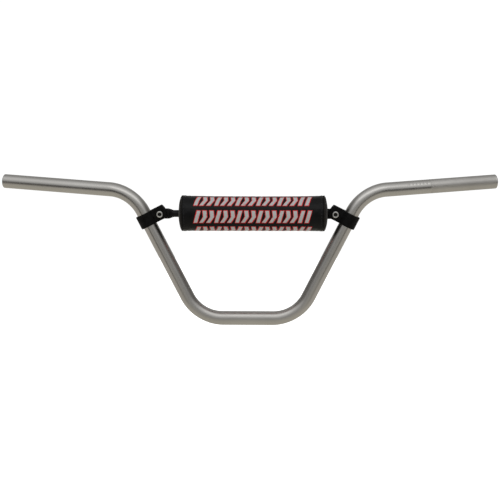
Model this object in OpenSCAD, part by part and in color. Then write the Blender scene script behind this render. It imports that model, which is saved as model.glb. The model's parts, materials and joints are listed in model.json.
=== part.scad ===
// High-rise motorcycle handlebar with a clamped-on crossbar and a padded crossbar roll.
//
// Frame: the origin is the centre of the straight section that the bike's handlebar clamps hold.
// +X runs along the bar to the rider's left hand, +Y points back towards the rider, +Z is up.
// "left" and "right" in the names are the rider's, so left is +X.
// The two legs lie in the XZ plane, and the arms sweep back and up from them.

/* [Bar] */
// Outside diameter of the bar tube, a standard 7/8 inch
bar_d = 22.2; // [22:0.1:22.4]
// Wall thickness of the bar tube
bar_wall = 3.5; // [2.5:0.1:4.5]
// Half the distance between the two lower corners, measured where the centre lines meet
lower_corner_x = 78; // [72:1:86]
// Angle of the legs above the horizontal
leg_angle = 63.2; // [60:0.1:66]
// Height of the upper corners, where the centre lines meet
upper_corner_z = 201.5; // [196:0.5:210]
// Half the distance between the centres of the two ends
end_x = 391; // [370:1:400]
// Rise of the arms from the upper corners to the ends
arm_rise = 3; // [1:0.1:6]
// Back sweep of the arms
arm_sweep = 12; // [8:0.1:15]
// Centre-line radius of every bend
bend_r = 61.5; // [58:0.5:64]
// Chamfer on the outer edge of each end
end_chamfer = 1; // [0.5:0.1:1.5]

/* [Crossbar] */
// Height of the crossbar's axis
cross_z = 166.3; // [160:0.1:168]
// Half the distance between the two clamp bolts
bolt_x = 136.5; // [134:0.1:138]
// Outside diameter of the crossbar tube
cross_d = 11; // [10:0.1:12]
// Wall thickness of the crossbar tube
cross_wall = 2; // [1.2:0.1:2.2]
// Width of the flattened ends
flat_w = 16; // [14:0.1:16.5]
// Length of the flattened end inboard of the bolt
flat_len = 16; // [16:0.5:20]
// Length over which the round tube becomes flat
taper_len = 6; // [3:0.5:6]

/* [Clamps] */
// Width of each clamp along the leg
clamp_w = 21; // [18:0.5:22]
// Thickness of the band around the leg
band_t = 3.4; // [2:0.1:4]
// Thickness of each ear
ear_t = 5; // [4:0.1:6]
// Length of the ears beyond the bolt
ear_reach = 10.2; // [9:0.1:10.5]
// How far the clamp's middle sits above the bolt, along the leg
clamp_shift = 1; // [0:0.5:1.5]
// Radius of the hollow corner between band and ear
neck_r = 5; // [3:0.5:6]
// Diameter of the hole for the bolt
bolt_hole_d = 6.6; // [6.4:0.1:7]

/* [Fasteners] */
// Thread diameter of the clamp bolts
bolt_d = 6; // [6:1:6]
// Length of the bolt below its head
bolt_len = 25; // [24:1:30]
// Diameter of the bolt's head
head_d = 10; // [9.8:0.1:10.2]
// Width across flats of the socket in the head
socket_af = 5; // [4.9:0.1:5.1]
// Width across flats of the nut
nut_af = 10; // [9.8:0.1:10]
// Height of the nut
nut_h = 6; // [5.5:0.1:6.5]
// Outside diameter of the washer
washer_d = 12; // [11:0.1:12.5]
// Thickness of the washer
washer_t = 1.6; // [1:0.1:1.8]

/* [Pad] */
// Diameter of the cover
pad_d = 53.6; // [50:0.1:56]
// Length of the pad over its domed ends
pad_len = 234; // [220:0.1:234]
// Offset of the pad's middle from the centre of the bar
pad_x = 8.6; // [0:0.1:8.7]
// Height of the domed ends
dome_h = 5.2; // [3:0.1:6]
// Thickness of the vinyl cover
cover_t = 0.9; // [0.6:0.1:1.2]
// Diameter of the round seam binding at each end
piping_d = 3.2; // [2.4:0.1:3.6]
// Diameter of the opening that the crossbar passes through
eye_d = 18; // [17.5:0.1:20]
// Depth of the recess in the foam at each end, which clears the flattened crossbar
foam_eye_depth = 14; // [13:0.5:16]

/* [Closure] */
// Direction of the flap's hinge line, counted from the front over the top
hinge_angle = 150; // [145:1:160]
// Angle that the flap wraps
flap_angle = 55; // [45:1:60]
// Length of the flap along the pad
flap_len = 204; // [180:1:208]
// Thickness of each half of the hook-and-loop tape
tape_t = 0.7; // [0.5:0.1:0.8]
// Width of the tape
tape_w = 16; // [12:0.5:18]

/* [Print] */
// Length of the printed field
print_len = 184; // [150:1:190]
// Direction of the middle of the first printed row
print_start = -4; // [-8:0.5:0]
// Angle between two printed rows
print_pitch = 58.5; // [56:0.5:60]
// Angle that each printed row wraps
print_angle = 42; // [36:1:44]

/* [Hidden] */
$fn = 96;
soft_gap = 0.3;         // room between soft pieces that move against each other
cut = 1;                // how far a cutting shape runs past the surface that it cuts

// Directions and lengths of the bar's centre line
leg_dir = [cos(leg_angle), 0, sin(leg_angle)];
arm_dir = [cos(arm_rise) * cos(arm_sweep), cos(arm_rise) * sin(arm_sweep), sin(arm_rise)];
upper_bend = acos(leg_dir * arm_dir);
upper_corner_x = lower_corner_x + upper_corner_z / tan(leg_angle);
leg_total = upper_corner_z / sin(leg_angle);
arm_total = (end_x - upper_corner_x) / arm_dir[0];
lower_tangent = bend_r * tan(leg_angle / 2);
upper_tangent = bend_r * tan(upper_bend / 2);
base_len = lower_corner_x - lower_tangent;
leg_len = leg_total - lower_tangent - upper_tangent;
arm_len = arm_total - upper_tangent;
// Turn about the leg that points the upper bend at the arm's direction
arm_roll = atan2(-arm_dir[1], arm_dir[2] * cos(leg_angle) - arm_dir[0] * sin(leg_angle));
bar_r = bar_d / 2;
bore_r = bar_r - bar_wall;
bore_chamfer = 0.5;
bend_draw = 0.02;
bend_lap = 0.1;

// Crossbar
cross_plug = 2;                          // closed length where the tube begins to flatten
flat_slice = 0.1;

// Clamp, in the leg's own axes: z along the leg, x from the leg to the bolt, y along the bolt
bolt_from_corner = [bolt_x - lower_corner_x, 0, cross_z];
clamp_s = bolt_from_corner * leg_dir - lower_tangent + clamp_shift;
bolt_reach = norm(cross(bolt_from_corner, leg_dir));
band_r = bar_r + band_t;
slot_half = cross_wall;                  // the flattened crossbar is two walls thick
ear_y = slot_half + ear_t;
ear_end_r = 26;                          // radius of the ears' slightly rounded end
ear_corner_r = 3;
neck_x = sqrt(pow(band_r + neck_r, 2) - pow(ear_y + neck_r, 2));

// Fasteners, along the bolt from its head at the front
bolt_r = bolt_d / 2;
head_h = bolt_d;
socket_depth = 3;
head_chamfer = 0.6;
tip_chamfer = 0.8;
nut_hex_h = 4.4;
collar_r = 4.7;
insert_r = 4;
insert_z = 4.1;
insert_t = 1.4;
insert_lip = 0.6;                        // how far the nut's collar turns in over the insert
washer_hole_r = 3.2;
hex_corner = 1 / cos(30);                // corner radius over flat radius of a hexagon

// Pad, along its own axis
pad_r = pad_d / 2;
cover_in_r = pad_r - cover_t;
eye_r = eye_d / 2;
dome_r = (pow(pad_r, 2) + pow(dome_h, 2)) / (2 * dome_h);
piping_r = piping_d / 2;
piping_proud = 0.7;                      // how far the seam binding stands out of the cover
piping_ring_r = pad_r + piping_proud - piping_r;
piping_x = pad_len / 2 - dome_h - piping_r;
cover_half = piping_x - piping_r;
panel_t = 1.2;
panel_rim_r = piping_ring_r - piping_r;
foam_r = cover_in_r - soft_gap;
foam_bore_r = cross_d / 2 + soft_gap;
foam_slit = 1.2;
cover_seam_angle = hinge_angle + 10;     // where the two long edges of the cover meet
cover_seam_w = 2;

// Closure, outwards from the cover
loop_r = pad_r + tape_t;
hook_in_r = loop_r + soft_gap;
flap_in_r = hook_in_r + tape_t;
flap_r = flap_in_r + cover_t;
hem_angle = 9;                           // angle that the sewn root of the flap wraps
hinge_gap_angle = 0.8;                   // free angle between the root and the flap
tape_angle = tape_w / pad_r * 180 / PI;
tape_inset_angle = 2;                    // from the flap's free edge to the tape
tape_start = hinge_angle + flap_angle - tape_angle - tape_inset_angle;
tape_end_gap = 2;                        // from each end of the flap to the hook tape
thread_r = 0.35;
thread_lift = 0.05;
hem_stitch_angle = 4;                    // from the flap's free edge to its row of stitches
stitch_pitch = 5;
stitch_len = 3.4;
seam_stitches = 34;
seam_inset = 2.5;                        // from the cover's end to its row of stitches
seam_thread_x = cover_half - seam_inset;
film_t = 0.15;
print_rows = 5;

// ---------------------------------------------------------------- bar

// Section of the tube. The wall draws in a little where the tube is bent.
module tube_section(draw) {
    difference() {
        circle(r = bar_r - draw);
        circle(r = bore_r + draw);
    }
}

module straight_tube(length) {
    linear_extrude(length) tube_section(0);
}

// A bend that leaves the origin along +z and turns towards +x. Its ends run a hair into the
// straight tubes that it joins.
module bent_tube(angle) {
    lap_angle = bend_lap / bend_r * 180 / PI;
    translate([bend_r, 0, 0])
        rotate([90, 0, 180])
            rotate_extrude(angle = angle + 2 * lap_angle, start = -lap_angle)
                translate([bend_r, 0]) tube_section(bend_draw);
}

module after_straight(length) {
    translate([0, 0, length]) children();
}

module after_bend(angle) {
    translate([bend_r * (1 - cos(angle)), 0, bend_r * sin(angle)])
        rotate([0, angle, 0]) children();
}

// The straight arm, with its end chamfered inside and outside
module arm_tube() {
    rotate_extrude()
        polygon([[bore_r, 0], [bar_r, 0], [bar_r, arm_len - end_chamfer],
                 [bar_r - end_chamfer, arm_len], [bore_r + bore_chamfer, arm_len],
                 [bore_r, arm_len - bore_chamfer]]);
}

// Axes at the middle of the base: z along the bar to the rider's left, x up
module on_base() {
    rotate([180, 0, 0]) rotate([0, 90, 0]) children();
}

// Leg axes: z along the leg from the end of the lower bend, x towards the middle of the bike
module on_leg() {
    on_base() after_straight(base_len) after_bend(leg_angle) children();
}

// Everything on one side of the base
module half_bar() {
    on_base() after_straight(base_len) bent_tube(leg_angle);
    on_leg() {
        straight_tube(leg_len);
        after_straight(leg_len) rotate([0, 0, arm_roll]) {
            bent_tube(upper_bend);
            after_bend(upper_bend) arm_tube();
        }
    }
}

module both_sides() {
    children();
    mirror([1, 0, 0]) children();
}

module handlebar_tube() {
    color("silver") {
        on_base() after_straight(-base_len) straight_tube(2 * base_len);
        both_sides() half_bar();
    }
}

// ---------------------------------------------------------------- crossbar

module along_y(length) {
    translate([0, length / 2, 0]) rotate([90, 0, 0]) linear_extrude(length) children();
}

// One half of the crossbar, from its middle to the flattened end around the bolt at +x
module half_crossbar() {
    flat_x = bolt_x - flat_len;
    tube_end = flat_x - taper_len;
    rotate([0, 90, 0]) difference() {
        cylinder(r = cross_d / 2, h = tube_end);
        translate([0, 0, -cut])
            cylinder(r = cross_d / 2 - cross_wall, h = tube_end - cross_plug + cut);
    }
    hull() {
        translate([tube_end, 0, 0]) rotate([0, 90, 0])
            cylinder(r = cross_d / 2, h = flat_slice, $fn = 32);
        translate([flat_x, 0, 0])
            cube([2 * flat_slice, 2 * cross_wall, flat_w], center = true);
    }
    difference() {
        along_y(2 * cross_wall) {
            translate([flat_x, -flat_w / 2]) square([flat_len, flat_w]);
            translate([bolt_x, 0]) circle(r = flat_w / 2);
        }
        along_y(2 * (cross_wall + cut)) translate([bolt_x, 0]) circle(d = bolt_hole_d);
    }
}

module crossbar() {
    color("#1a1a1c") translate([0, 0, cross_z]) both_sides() half_crossbar();
}

// ---------------------------------------------------------------- clamps

// Filling of the hollow corner between the band and one ear
module clamp_neck() {
    reach = band_r / (band_r + neck_r);
    difference() {
        polygon([[0, 0], [neck_x, 0], [neck_x, ear_y + neck_r],
                 [neck_x * reach, (ear_y + neck_r) * reach]]);
        translate([neck_x, ear_y + neck_r]) circle(r = neck_r);
    }
}

// Section of the clamp across the leg: band, ears and the hollow corners between them
module clamp_section() {
    circle(r = band_r);
    translate([0, -ear_y]) square([bolt_reach + ear_reach, 2 * ear_y]);
    clamp_neck();
    mirror([0, 1]) clamp_neck();
}

// Outline of the clamp seen along the bolt
module clamp_outline() {
    start_x = -band_r - cut;
    intersection() {
        union() {
            translate([start_x, -clamp_w / 2])
                square([bolt_reach + ear_reach - ear_corner_r - start_x, clamp_w]);
            translate([start_x, ear_corner_r - clamp_w / 2])
                square([bolt_reach + ear_reach - start_x, clamp_w - 2 * ear_corner_r]);
            for (side = [-1, 1])
                translate([bolt_reach + ear_reach - ear_corner_r,
                           side * (clamp_w / 2 - ear_corner_r)])
                    circle(r = ear_corner_r);
        }
        union() {
            translate([bolt_reach + ear_reach - ear_end_r, 0]) circle(r = ear_end_r);
            translate([start_x, -clamp_w / 2]) square([bolt_reach - start_x, clamp_w]);
        }
    }
}

module clamp() {
    color("#161618") on_leg() after_straight(clamp_s) difference() {
        intersection() {
            translate([0, 0, -clamp_w / 2]) linear_extrude(clamp_w) clamp_section();
            along_y(2 * (band_r + cut)) clamp_outline();
        }
        cylinder(r = bar_r, h = clamp_w + 2 * cut, center = true);
        translate([0, -slot_half, -clamp_w / 2 - cut])
            cube([bolt_reach + ear_reach + cut, 2 * slot_half, clamp_w + 2 * cut]);
        translate([bolt_reach, 0, -clamp_shift]) rotate([90, 0, 0])
            cylinder(d = bolt_hole_d, h = 2 * (ear_y + cut), center = true);
    }
}

module left_clamp() {
    clamp();
}

module right_clamp() {
    mirror([1, 0, 0]) clamp();
}

// ---------------------------------------------------------------- fasteners

// The bolt's axis, from the front face of the front ear towards the rider
module on_bolt(side, from_front) {
    translate([side * bolt_x, from_front - ear_y, cross_z]) rotate([-90, 0, 0]) children();
}

module clamp_bolt(side) {
    color("#b8bab8") on_bolt(side, 0) {
        difference() {
            rotate_extrude()
                polygon([[0, 0], [head_d / 2, 0], [head_d / 2, head_chamfer - head_h],
                         [head_d / 2 - head_chamfer, -head_h], [0, -head_h]]);
            translate([0, 0, -head_h - cut])
                cylinder(r = socket_af / 2 * hex_corner, h = socket_depth + cut, $fn = 6);
        }
        rotate_extrude()
            polygon([[0, 0], [bolt_r, 0], [bolt_r, bolt_len - tip_chamfer],
                     [bolt_r - tip_chamfer, bolt_len], [0, bolt_len]]);
    }
}

module nut_washer(side) {
    color("#c4c6c4") on_bolt(side, 2 * ear_y) difference() {
        cylinder(d = washer_d, h = washer_t);
        translate([0, 0, -cut]) cylinder(r = washer_hole_r, h = washer_t + 2 * cut);
    }
}

module clamp_nut(side) {
    color("#b0b2b0") on_bolt(side, 2 * ear_y + washer_t) difference() {
        union() {
            cylinder(r = nut_af / 2 * hex_corner, h = nut_hex_h, $fn = 6);
            cylinder(r = collar_r, h = nut_h);
        }
        translate([0, 0, -cut]) cylinder(r = bolt_r, h = nut_h + 2 * cut);
        translate([0, 0, insert_z]) cylinder(r = insert_r, h = insert_t);
        translate([0, 0, insert_z]) cylinder(r = insert_r - insert_lip, h = nut_h);
    }
}

module nut_insert(side) {
    color("#3a56a0") on_bolt(side, 2 * ear_y + washer_t + insert_z) difference() {
        cylinder(r = insert_r, h = insert_t);
        translate([0, 0, -cut]) cylinder(r = bolt_r, h = insert_t + 2 * cut);
    }
}

// ---------------------------------------------------------------- pad

// The pad's axes: z along its axis to the rider's right, x to the front and y up, so that an
// angle about z is counted from the front over the top
module on_pad() {
    translate([pad_x, 0, cross_z]) rotate([0, -90, 0]) rotate([0, 0, -90]) children();
}

// The same axes, with z towards the end on the given side: 1 for left and -1 for right
module on_pad_end(side) {
    on_pad() rotate([side > 0 ? 180 : 0, 0, 0]) children();
}

// A sector of a tube around the pad, from one direction to another, counted over the top
module shell(in_r, out_r, from_angle, to_angle, length) {
    translate([0, 0, -length / 2])
        rotate_extrude(angle = to_angle - from_angle, start = from_angle)
            translate([in_r, 0]) square([out_r - in_r, length]);
}

// Half of a domed roll: radius, half length over the dome and radius of the dome
module domed_half(radius, half_len, ball_r) {
    intersection() {
        square([radius, half_len]);
        translate([0, half_len - ball_r]) circle(r = ball_r, $fn = 180);
    }
}

module pad_foam_core() {
    foam_half = pad_len / 2 - panel_t - soft_gap;
    neck_half = cover_half - soft_gap;
    core_r = panel_rim_r - soft_gap;
    color("#5a5a5c") on_pad() difference() {
        rotate_extrude() {
            translate([0, -neck_half]) square([foam_r, 2 * neck_half]);
            for (flip = [0, 1])
                mirror([0, flip]) domed_half(core_r, foam_half, dome_r - panel_t - soft_gap);
        }
        cylinder(r = foam_bore_r, h = pad_len, center = true);
        for (side = [-1, 1])
            translate([0, 0, side * pad_len / 2])
                cylinder(r = eye_r, h = 2 * foam_eye_depth, center = true);
        rotate([0, 0, cover_seam_angle])
            translate([0, -foam_slit / 2, -pad_len / 2]) cube([pad_r, foam_slit, pad_len]);
    }
}

module pad_cover() {
    seam_half = cover_seam_w / pad_r * 90 / PI;
    color("#121214") on_pad()
        shell(cover_in_r, pad_r, cover_seam_angle + seam_half,
              cover_seam_angle + 360 - seam_half, 2 * cover_half);
}

module end_panel(side) {
    color("#2a2622") on_pad_end(side) rotate_extrude() intersection() {
        translate([eye_r, 0]) square([panel_rim_r - eye_r, pad_len / 2]);
        translate([0, pad_len / 2 - dome_r]) difference() {
            circle(r = dome_r, $fn = 180);
            circle(r = dome_r - panel_t, $fn = 180);
        }
    }
}

module piping(side) {
    color("#1e1c1a") on_pad_end(side) translate([0, 0, piping_x])
        rotate_extrude() translate([piping_ring_r, 0]) circle(r = piping_r, $fn = 48);
}

// One stitch: a short round thread on a surface of the given radius, turned from the pad's axis
module stitch(radius, angle, z, turn) {
    rotate([0, 0, angle]) translate([radius + thread_lift + thread_r, 0, z]) rotate([turn, 0, 0])
        cylinder(r = thread_r, h = stitch_len, center = true, $fn = 16);
}

module seam_thread(side) {
    color("#3c3c3e") on_pad_end(side)
        for (i = [0 : seam_stitches - 1])
            stitch(pad_r, cover_seam_angle + (i + 0.5) * 360 / seam_stitches, seam_thread_x, 90);
}

module pad_print_film() {
    color("#b4b4b4") on_pad()
        for (i = [0 : print_rows - 1]) {
            middle = print_start + (i - floor(print_rows / 2)) * print_pitch;
            shell(pad_r, pad_r + film_t, middle - print_angle / 2, middle + print_angle / 2,
                  print_len);
        }
}

// ---------------------------------------------------------------- closure

module pad_loop_tape() {
    color("#1c1c20") on_pad()
        shell(pad_r, loop_r, tape_start, tape_start + tape_angle, flap_len);
}

module pad_flap_hem() {
    color("#141416") on_pad()
        shell(pad_r, flap_r, hinge_angle - hem_angle, hinge_angle - hinge_gap_angle, flap_len);
}

module pad_closure_flap() {
    color("#141416") on_pad()
        shell(flap_in_r, flap_r, hinge_angle, hinge_angle + flap_angle, flap_len);
}

module pad_hook_tape() {
    color("#202024") on_pad()
        shell(hook_in_r, flap_in_r, tape_start, tape_start + tape_angle, flap_len - 2 * tape_end_gap);
}

module pad_flap_thread() {
    stitches = floor(flap_len / stitch_pitch) - 1;
    color("#3c3c3e") on_pad()
        for (i = [0 : stitches - 1])
            stitch(flap_r, hinge_angle + flap_angle - hem_stitch_angle,
                   (i - (stitches - 1) / 2) * stitch_pitch, 0);
}

// ---------------------------------------------------------------- drawing

handlebar_tube();
crossbar();
left_clamp();
right_clamp();
clamp_bolt(1);  // left_clamp_bolt
clamp_bolt(-1);  // right_clamp_bolt
nut_washer(1);  // left_nut_washer
nut_washer(-1);  // right_nut_washer
clamp_nut(1);  // left_clamp_nut
clamp_nut(-1);  // right_clamp_nut
nut_insert(1);  // left_nut_insert
nut_insert(-1);  // right_nut_insert
pad_foam_core();
pad_cover();
end_panel(1);  // pad_left_end_panel
end_panel(-1);  // pad_right_end_panel
piping(1);  // pad_left_piping
piping(-1);  // pad_right_piping
seam_thread(1);  // pad_left_seam_thread
seam_thread(-1);  // pad_right_seam_thread
pad_print_film();
pad_loop_tape();
pad_flap_hem();
pad_closure_flap();
pad_hook_tape();
pad_flap_thread();
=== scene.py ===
"""Looks of a high-rise motorcycle handlebar with a clamped crossbar and a padded crossbar roll.

Everything is in metres in the CAD frame: +X to the rider's left hand, +Y to the rider, +Z up.
Directions round the pad are counted in degrees from the front (-Y) over the top (+Z).
"""
import json
import math
from collections import namedtuple

import bpy
import bmesh
import numpy as np
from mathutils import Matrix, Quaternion, Vector, noise
from mathutils.bvhtree import BVHTree


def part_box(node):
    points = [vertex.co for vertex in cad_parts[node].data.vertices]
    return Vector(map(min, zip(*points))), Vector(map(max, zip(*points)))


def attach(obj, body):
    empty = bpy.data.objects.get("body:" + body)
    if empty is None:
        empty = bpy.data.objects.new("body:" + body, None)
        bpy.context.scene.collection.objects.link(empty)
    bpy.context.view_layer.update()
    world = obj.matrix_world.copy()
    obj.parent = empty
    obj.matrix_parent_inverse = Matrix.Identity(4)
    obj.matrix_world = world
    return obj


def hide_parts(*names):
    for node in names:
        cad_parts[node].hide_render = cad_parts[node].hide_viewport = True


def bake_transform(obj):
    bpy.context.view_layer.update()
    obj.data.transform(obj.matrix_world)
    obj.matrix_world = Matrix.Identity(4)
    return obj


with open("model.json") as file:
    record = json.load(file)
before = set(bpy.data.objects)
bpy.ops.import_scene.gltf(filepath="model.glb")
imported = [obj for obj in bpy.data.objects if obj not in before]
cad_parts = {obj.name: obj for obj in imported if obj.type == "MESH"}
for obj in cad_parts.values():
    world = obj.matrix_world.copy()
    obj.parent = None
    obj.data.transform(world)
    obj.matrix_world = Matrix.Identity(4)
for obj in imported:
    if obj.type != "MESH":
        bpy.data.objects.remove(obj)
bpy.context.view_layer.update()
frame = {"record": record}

MM = 0.001
TAU = 2 * math.pi

# ------------------------------------------------------------------ sizes from the frame

MOUNTS = {m["name"]: m for m in frame["record"]["mounts"]}
BAR_R = MOUNTS["bar_clamp_seat"]["dims"]["r_mm"] * MM
BORE_R = MOUNTS["left_bar_end_bore"]["dims"]["r_mm"] * MM
BASE_HALF = MOUNTS["bar_clamp_seat"]["dims"]["length_mm"] * MM / 2
ARM_DIR = Vector(MOUNTS["left_grip_seat"]["axis"])
ARM_MID = Vector(MOUNTS["left_grip_seat"]["pos_m"])
END_CHAMFER = 1.0 * MM
ARM_LEN = MOUNTS["left_grip_seat"]["dims"]["length_mm"] * MM + END_CHAMFER
LEG_ANGLE = math.radians(63.2)
BEND_R = 61.5 * MM
LEG_DIR = Vector((math.cos(LEG_ANGLE), 0, math.sin(LEG_ANGLE)))


def middle(node):
    low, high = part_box(node)
    return (low + high) / 2


def size(node):
    low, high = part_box(node)
    return high - low


CROSS_Z = middle("crossbar").z
CROSS_R = size("crossbar").y / 2
FLAT_HALF_W = size("crossbar").z / 2
FLAT_HALF_T = 2.0 * MM
BOLT_X = middle("left_clamp_bolt").x
FLAT_LEN = 16.0 * MM
TAPER_LEN = 6.0 * MM

CLAMP_W = 21.0 * MM
BAND_T = 3.4 * MM
CLAMP_SHIFT = 1.0 * MM
EAR_T = 5.0 * MM
EAR_REACH = 10.2 * MM
NECK_R = 5.0 * MM
EAR_Y = FLAT_HALF_T + EAR_T
BOLT_R = 3.0 * MM
HEAD_R = size("left_clamp_bolt").x / 2
HEAD_H = 6.0 * MM
THREAD_FROM, THREAD_PITCH = 15.5 * MM, 1.0 * MM
WASHER_T = 1.6 * MM
BOLT_HOLE_R = 3.3 * MM
BOLT_LEN = size("left_clamp_bolt").y - HEAD_H

PAD_X = middle("pad_cover").x
PAD_R = size("pad_cover").z / 2
COVER_T = 0.9 * MM
COVER_HALF = size("pad_cover").x / 2
PIPING_R = size("pad_left_piping").x / 2
PIPING_RING_R = size("pad_left_piping").z / 2 - PIPING_R
PIPING_X = middle("pad_left_piping").x - PAD_X
PANEL_R = size("pad_left_end_panel").z / 2
PANEL_TIP_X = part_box("pad_left_end_panel")[1].x - PAD_X
EYE_R = 9.0 * MM
FOAM_R = size("pad_foam_core").z / 2
FOAM_HALF = size("pad_foam_core").x / 2
SEAM_ANGLE = 160.0
HINGE_ANGLE = 150.0
FLAP_ANGLE = 55.0
HEM_ANGLE = 9.0
TAPE_ANGLES = 168.8, 203.0
HEM_LIFT = 0.12 * MM         # how far the flap's sewn root lies off the cover
FLAP_HALF = size("pad_closure_flap").x / 2
TAPE_T = 0.7 * MM


# ------------------------------------------------------------------ mesh helpers


def link(name, verts, faces):
    """A smooth-shaded mesh object in the scene."""
    mesh = bpy.data.meshes.new(name)
    mesh.from_pydata([tuple(v) for v in verts], [], faces)
    mesh.validate()
    mesh.polygons.foreach_set("use_smooth", [True] * len(mesh.polygons))
    obj = bpy.data.objects.new(name, mesh)
    bpy.context.scene.collection.objects.link(obj)
    return obj


def face_outwards(obj):
    bm = bmesh.new()
    bm.from_mesh(obj.data)
    bmesh.ops.recalc_face_normals(bm, faces=bm.faces)
    bm.to_mesh(obj.data)
    bm.free()
    return obj


def sharpen(obj, degrees=35):
    obj.data.set_sharp_from_angle(angle=math.radians(degrees))
    return obj


def strip_faces(rows, count, closed_rows=False, closed_count=True):
    """Quads of a grid of rows of count points, each row optionally a closed loop."""
    faces = []
    for i in range(rows if closed_rows else rows - 1):
        a, b = i * count, (i + 1) % rows * count
        for j in range(count if closed_count else count - 1):
            k = (j + 1) % count
            faces.append((a + j, a + k, b + k, b + j))
    return faces


def shell_faces(rows, count):
    """Faces of a closed shell of two grids of points, the second lying under the first."""
    n = rows * count
    faces = strip_faces(rows, count, closed_count=False)
    faces += [tuple(n + i for i in reversed(f)) for f in faces]
    rim = list(range(count)) + [i * count + count - 1 for i in range(1, rows)]
    rim += [(rows - 1) * count + j for j in range(count - 2, -1, -1)]
    rim += [i * count for i in range(rows - 2, 0, -1)]
    return faces + [(a, b, n + b, n + a) for a, b in zip(rim, rim[1:] + rim[:1])]


def loft(name, rings, closed_rows=False):
    """A skin over rings of equally many points, with a fan at each end unless it is closed."""
    count = len(rings[0])
    verts = [v for ring in rings for v in ring]
    faces = strip_faces(len(rings), count, closed_rows)
    if not closed_rows:
        for ring, start in ((rings[0], 0), (rings[-1], (len(rings) - 1) * count)):
            verts.append(sum((Vector(v) for v in ring), Vector()) / count)
            for j in range(count):
                faces.append((start + j, start + (j + 1) % count, len(verts) - 1))
    return face_outwards(link(name, verts, faces))


def turned(origin, axis, profile, segments=64):
    """Rings about an axis, from (radius, height) pairs. A radius is a number or a function of
    the angle."""
    axis = Vector(axis).normalized()
    u = axis.orthogonal().normalized()
    v = axis.cross(u)
    rings = []
    for radius, height in profile:
        ring = []
        for j in range(segments):
            a = TAU * j / segments
            r = radius(a) if callable(radius) else radius
            ring.append(Vector(origin) + axis * height + (u * math.cos(a) + v * math.sin(a)) * r)
        rings.append(ring)
    return rings


def join(objects, name):
    """One object out of several, in their places."""
    verts, faces = [], []
    for o in objects:
        start = len(verts)
        verts += [v.co.copy() for v in o.data.vertices]
        faces += [tuple(start + i for i in p.vertices) for p in o.data.polygons]
        bpy.data.objects.remove(o)
    return link(name, verts, faces)


def drill(obj, start, end, radius):
    """Cuts a round hole through an object."""
    start, end = Vector(start), Vector(end)
    axis = end - start
    tool = loft("drill", turned(start, axis, [(radius, 0), (radius, axis.length)], 48))
    cut = obj.modifiers.new("hole", "BOOLEAN")
    cut.operation, cut.solver, cut.object = "DIFFERENCE", "EXACT", tool
    graph = bpy.context.evaluated_depsgraph_get()
    mesh = bpy.data.meshes.new_from_object(obj.evaluated_get(graph))
    obj.modifiers.clear()
    obj.data = mesh
    bpy.data.objects.remove(tool)


def arc(cx, cy, r, start, end, steps):
    """Points of an arc, in degrees."""
    out = []
    for i in range(steps + 1):
        a = math.radians(start + (end - start) * i / steps)
        out.append((cx + r * math.cos(a), cy + r * math.sin(a)))
    return out


def in_mm(*pairs):
    """Pairs of sizes in millimetres, in metres."""
    return [(a * MM, b * MM) for a, b in pairs]


def smoothstep(t):
    t = min(1.0, max(0.0, t))
    return t * t * (3 - 2 * t)


def mirrored(p):
    return Vector((-p[0], p[1], p[2]))


# ------------------------------------------------------------------ materials


def feed(tree, socket, value):
    """Links an output to a socket, or sets the socket's value."""
    if isinstance(value, bpy.types.NodeSocket):
        tree.links.new(value, socket)
    elif socket.type == "RGBA" and len(value) == 3:
        socket.default_value = (*value, 1)
    else:
        socket.default_value = value


def add(tree, kind, **values):
    """A node with its settings and its inputs, which are values or other nodes' outputs."""
    node = tree.nodes.new(kind)
    for key, value in values.items():
        if hasattr(node, key):
            setattr(node, key, value)
        else:
            feed(tree, node.inputs[key.replace("_", " ")], value)
    return node


def place_of(tree):
    return add(tree, "ShaderNodeTexCoord").outputs["Object"]


def pattern(tree, kind):
    """A value over the object's own coordinates: noise from (features per metre, detail), or
    cells from a number of cells per metre."""
    if isinstance(kind, tuple):
        return add(tree, "ShaderNodeTexNoise", Vector=place_of(tree), Scale=kind[0],
                   Detail=kind[1]).outputs["Fac"]
    return add(tree, "ShaderNodeTexVoronoi", Vector=place_of(tree), Scale=kind).outputs["Distance"]


def spread(tree, value, low, high):
    """Maps a 0-1 value to low-high."""
    return add(tree, "ShaderNodeMapRange", Value=value, From_Min=0.3, From_Max=0.7, To_Min=low,
               To_Max=high).outputs["Result"]


def two_tone(tree, value, first, second):
    ramp = add(tree, "ShaderNodeValToRGB", Fac=value)
    for stop, position, colour in zip(ramp.color_ramp.elements, (0.35, 0.65), (first, second)):
        stop.position = position
        stop.color = (*colour, 1)
    return ramp.outputs["Color"]


def bump(tree, shader, heights):
    """Chains bumps of (value, strength, distance in metres) into a shader's normal."""
    last = {}
    for value, strength, distance in heights:
        node = add(tree, "ShaderNodeBump", Strength=strength, Distance=distance, Height=value,
                   **last)
        last = {"Normal": node.outputs["Normal"]}
    feed(tree, shader.inputs["Normal"], last["Normal"])


def surface(name, tones, patches, rough, gloss=None, bumps=(), metallic=0.0, **sockets):
    """A principled material in two close tones, spread in patches of a pattern. gloss is a
    pattern with the lowest and highest roughness. bumps are (pattern, strength, distance)."""
    mat = bpy.data.materials.new(name)
    mat.use_nodes = True
    tree = mat.node_tree
    shader = tree.nodes["Principled BSDF"]
    values = {"Base Color": tones[0], "Roughness": rough, "Metallic": metallic}
    for socket, value in (values | sockets).items():
        feed(tree, shader.inputs[socket.replace("_", " ")], value)
    feed(tree, shader.inputs["Base Color"], two_tone(tree, pattern(tree, patches), *tones))
    if gloss:
        kind, low, high = gloss
        feed(tree, shader.inputs["Roughness"], spread(tree, pattern(tree, kind), low, high))
    if bumps:
        bump(tree, shader, [(pattern(tree, kind), *rest) for kind, *rest in bumps])
    return mat


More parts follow.
